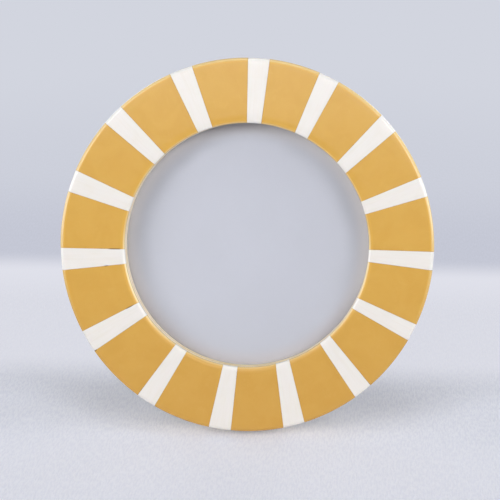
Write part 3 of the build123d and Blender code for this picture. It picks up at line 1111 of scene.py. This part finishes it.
# Pan head with a cross recess: the top is cut along the cross's sides, and the faces between sink
def crossScrew():
    seat, end = screw["seat"], screw["end"]
    outline = [(0.0, end), (screw["radius"], end + screw["point"]), (screw["radius"], seat)]
    bm = turn(outline + domed(seat, **screw["head"]), screw["steps"], closed=False)
    long, narrow = screw["crossHalf"], screw["crossHalfWidth"]
    for distance in (-long, -narrow, narrow, long):
        cutAt(bm, (distance, 0, 0), (1, 0, 0))
        cutAt(bm, (0, 0, distance), (0, 0, 1))
    recess = []
    for face in bm.faces:
        middle = face.calc_center_median()
        near, far = sorted((abs(middle.x), abs(middle.z)))
        if middle.y > seat + screw["crossAbove"] and near < narrow and far < long:
            recess.append(face)
    grown = bmesh.ops.extrude_face_region(bm, geom=recess)["geom"]
    for corner in grown:
        if isinstance(corner, bmesh.types.BMVert):
            corner.co.y = seat + screw["head"]["height"] - screw["crossDepth"]
    bmesh.ops.delete(bm, geom=recess, context="FACES")
    return bm


def makeScrews():
    parts = []
    for index, angle in enumerate(turnButton["angles"]):
        twist = Matrix.Rotation(radians(screw["firstTwist"] + screw["nextTwist"] * index), 4, "Y")
        parts.append((crossScrew(), buttonPlace(angle) @ twist))
    makePiece(joined(parts), "buttonScrews", "frame", "steel", "turn_button_screws")


hanger = {
    "half": 19.0,
    "heights": (59.5, 66.5),
    "depths": (15.0, 15.7),
    "corner": 1.5,
    "edgeRound": 0.1,
    "lift": 1.6,
    "slope": (11.0, 13.0),
    "slopeCuts": 6,
    "teeth": 9,
    "pitch": 2.2,
    "toothDepth": 1.3,
    "nailAt": (16.0, 63.0),
    "nailRadius": 0.6,
    "nailHead": {"radius": 1.5, "height": 0.5, "side": 0.35},
    "nailLength": 6.0,
    "nailSteps": 28,
}


def makeHanger():
    half, (low, high) = hanger["half"], hanger["heights"]
    outline = [((-half, low), hanger["corner"])]
    first = -hanger["pitch"] * hanger["teeth"] / 2
    for tooth in range(hanger["teeth"]):
        x = first + tooth * hanger["pitch"]
        outline += [((x, low), 0), ((x + hanger["pitch"] / 2, low + hanger["toothDepth"]), 0)]
    outline += [((-first, low), 0), ((half, low), hanger["corner"])]
    outline += [((half, high), hanger["corner"]), ((-half, high), hanger["corner"])]
    bm = cutSheet(outline, *hanger["depths"], hanger["edgeRound"])
    inner, outer = hanger["slope"]
    steps = hanger["slopeCuts"]
    ramp = [inner + (outer - inner) * step / steps for step in range(steps + 1)]

    def lift(x):
        share = min(1.0, max(0.0, (outer - abs(x)) / (outer - inner)))
        return hanger["lift"] * share * share * (3 - 2 * share)

    bendSheet(bm, ramp + [-x for x in ramp], lift)
    makePiece(bm, "hanger", "frame", "steel", "hanger")


def makeNails():
    x, z = hanger["nailAt"]
    radius, seat = hanger["nailRadius"], hanger["depths"][1]
    end = seat - hanger["nailLength"]
    shank = [(0.0, end), (radius, end + radius), (radius, seat)]
    both = turnedPair(shank + domed(seat, **hanger["nailHead"]), hanger["nailSteps"], x, z)
    makePiece(both, "hangerNails", "frame", "steel", "hanger_nails")


makeTurnButtons()
makeScrews()
makeHanger()
makeNails()
print("back fitted")

# Studio: floor, light and camera, in metres
studio = {
    "floorRadius": 3.0,
    "floorSteps": 96,
    "front": seen(244, 246, 255),
    "grain": seen(218, 221, 238),
    "grainStretch": (1300.0, 240.0, 900.0),
    "grains": (1.0, 3.0, 0.7),
    "grainSize": (0.4, 0.62, 0.45),
    "toneGrain": 0.3,  # how much of that the backdrop keeps
    "relief": (0.0006, 0.6),
    "wander": (3.0, 3.0),
    "wanderBy": 0.006,
    # from and to which distance behind the frame, and with what share, the lit floor turns into
    # the backdrop, or back
    "glow": (
        (-9.0, -8.0, 0.4),
        (-0.035, -0.008, -0.28),
        (0.03, 0.07, 0.68),
        (0.13, 0.19, 0.2),
    ),
    "round": (0.34, 0.66),  # the same by the distance on every side
    "near": seen(224, 225, 234),
    "tones": (  # from and to which distance the backdrop turns to a tone
        (0.184, 0.217, seen(195, 198, 211)),
        (0.235, 0.37, seen(203, 206, 217)),
    ),
    "far": seen(210, 213, 223),
    "world": seen(250, 251, 255),
    "worldLight": 0.11,
    "farLight": 1.0,
}


def seenDirectly(paint):  # by the eye, or in metal or glass
    rays = ("Is Camera Ray", "Is Glossy Ray", "Is Transmission Ray")
    bounced = paint.node("ShaderNodeLightPath", output="Diffuse Depth").least(1.0)
    return sum(paint.node("ShaderNodeLightPath", output=ray) for ray in rays).least(1.0) * (1 - bounced)


def floorPaint():
    paint = Paint("studio floor")
    place = paint.onPiece()
    grain = paint.noise(paint.stretch(place, *studio["grainStretch"]), *studio["grains"])
    speckled = grain.rise(*studio["grainSize"])
    away = paint.part(place, "Y") + paint.noise(place, *studio["wander"]) * studio["wanderBy"]
    reach = paint.node("ShaderNodeVectorMath", {"operation": "LENGTH"}, {0: place}, "Value")
    colour = paint.mix(speckled, studio["front"], studio["grain"])
    normal = paint.relief(grain, *studio["relief"])
    lit = paint.shader(Base_Color=colour, Roughness=0.9, Normal=normal)
    tone = studio["near"]
    for start, end, further in studio["tones"]:
        tone = paint.mix(away.rise(start, end), tone, further)
    tone = paint.mix(speckled * studio["toneGrain"], tone, studio["grain"])
    tone = paint.mix(reach.rise(*studio["round"]), tone, studio["far"])
    glow = paint.node("ShaderNodeEmission", None, {"Color": tone})
    glowing = sum(away.rise(start, end) * share for start, end, share in studio["glow"])
    glowing = glowing.most(reach.rise(*studio["round"]))
    shown = seenDirectly(paint) * glowing
    return paint.finish(paint.node("ShaderNodeMixShader", None, {0: shown, 1: lit, 2: glow}))


def makeFloor():
    bm = bmesh.new()
    radius, steps = studio["floorRadius"], studio["floorSteps"]
    bmesh.ops.create_circle(bm, cap_ends=True, radius=radius, segments=steps)
    addObject(bm, "floor", floorPaint())


# The world lights weakly, and shows the floor's far tone to the eye, to metal and to glass
def lightWorld():
    sky = Paint("studio light", bpy.data.worlds)
    scene.world = sky.material
    dim = {"Color": studio["world"], "Strength": studio["worldLight"]}
    pale = {"Color": studio["far"], "Strength": studio["farLight"]}
    lights = [sky.node("ShaderNodeBackground", None, sockets) for sockets in (dim, pale)]
    sockets = {0: seenDirectly(sky), 1: lights[0], 2: lights[1]}
    sky.finish(sky.node("ShaderNodeMixShader", None, sockets), "ShaderNodeOutputWorld")


softBoxes = {  # azimuth from the front, to the right, and elevation, in degrees, and watts
    "left": (-33, 28, 8.9),
    "leftLow": (-49, 14, 8.0),
    "sideLeft": (-95, 6.5, 8.0),
    "front": (0, 25, 3.9),
    "top": (0, 80, 5.5),
    "right": (38, 28, 10.6),
    "rightLow": (80, 14, 9.5),
    "sideRight": (95, 6.5, 6.5),
    "rearLeft": (-148, 17, 5.5),
    "rearRight": (148, 17, 5.8),
}
boxHang = {
    "target": Vector((0, 0, 0.075)),
    "distance": 2.0,
    "size": (0.9, 0.7),
    "colour": (0.968, 0.982, 1.0),
}


def hangLights():
    for name, (azimuth, elevation, watts) in softBoxes.items():
        light = bpy.data.lights.new(name, "AREA")
        light.shape = "RECTANGLE"
        light.size, light.size_y = boxHang["size"]
        light.energy = watts
        light.color = boxHang["colour"]
        lamp = bpy.data.objects.new(name, light)
        turned, raised = radians(azimuth), radians(elevation)
        away = Vector((cos(raised) * sin(turned), -cos(raised) * cos(turned), sin(raised)))
        lamp.location = boxHang["target"] + boxHang["distance"] * away
        lamp.rotation_euler = away.to_track_quat("Z", "Y").to_euler()
        lamp.visible_camera = False
        scene.collection.objects.link(lamp)


# The photograph's camera, found from the circles of the ring
photoCamera = {
    "place": Vector((0.0533, -0.8153, 0.3356)),
    "focalPixels": 2125.0,
    "imagePixels": 500.0,
    "sensor": 36.0,  # millimetres
    "faceCentreAt": (246.15, 245.7),  # pixels from the top left
}


def placeCamera():
    lens = bpy.data.cameras.new("photo camera")
    lens.sensor_width = photoCamera["sensor"]
    lens.lens = photoCamera["focalPixels"] / photoCamera["imagePixels"] * photoCamera["sensor"]
    camera = bpy.data.objects.new("photo camera", lens)
    middle = photoCamera["imagePixels"] / 2
    right, down = (pixel - middle for pixel in photoCamera["faceCentreAt"])
    turnY = atan(right / photoCamera["focalPixels"])
    turnX = atan(down / photoCamera["focalPixels"])
    look = (stance["faceCentre"] - photoCamera["place"]).to_track_quat("-Z", "Y")
    camera.location = photoCamera["place"]
    camera.rotation_euler = (look @ Euler((turnX, turnY, 0)).to_quaternion()).to_euler()
    scene.collection.objects.link(camera)
    scene.camera = camera


makeFloor()
lightWorld()
hangLights()
placeCamera()
print("studio set")
